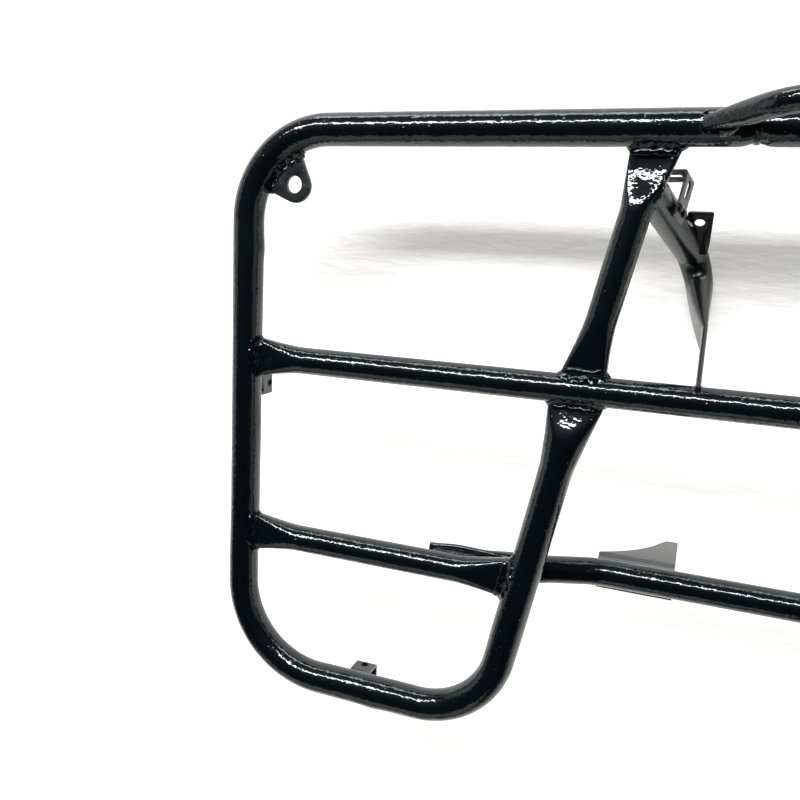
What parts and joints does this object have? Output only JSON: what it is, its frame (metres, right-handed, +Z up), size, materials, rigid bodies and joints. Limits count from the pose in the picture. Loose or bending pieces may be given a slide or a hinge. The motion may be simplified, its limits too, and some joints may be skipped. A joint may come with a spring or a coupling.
{
  "type": "all-terrain vehicle rear rack",
  "caption": "Rear luggage rack of an all-terrain vehicle, welded from bent tube: a deck forked round the seat, with cross bars, a grab hoop, stays, clips and bolt tabs.",
  "frame": {"origin": "on the ground, under the middle of the rack's bounding box", "axes": "+X to the rack's right-hand side, +Y to the rear of the vehicle, +Z up"},
  "size_m": [0.9654, 0.4922, 0.1772],
  "materials": {
    "tube_paint": "thick gloss black paint with a pebbled surface",
    "bracket_paint": "gloss black paint on pressed plate",
    "rivet_paint": "black painted rivet heads"
  },
  "bodies": {
    "root": {"left_outer_rail": "tube_paint", "left_rear_strut": "tube_paint", "left_wing_bar": "tube_paint", "left_stay": "tube_paint", "left_hanger_bracket": "bracket_paint", "left_stay_tab": "bracket_paint", "left_slotted_clip": "bracket_paint", "left_corner_eyelet": "bracket_paint", "left_side_clip": "bracket_paint", "left_front_clip": "bracket_paint", "left_clip_rivets": "rivet_paint", "right_outer_rail": "tube_paint", "right_rear_strut": "tube_paint", "right_wing_bar": "tube_paint", "right_stay": "tube_paint", "right_hanger_bracket": "bracket_paint", "right_stay_tab": "bracket_paint", "right_slotted_clip": "bracket_paint", "right_corner_eyelet": "bracket_paint", "right_side_clip": "bracket_paint", "right_front_clip": "bracket_paint", "right_clip_rivets": "rivet_paint", "rear_centre_rail": "tube_paint", "grab_bar": "tube_paint", "middle_bar": "tube_paint", "front_cross_tube": "tube_paint"}
  },
  "joints": []
}
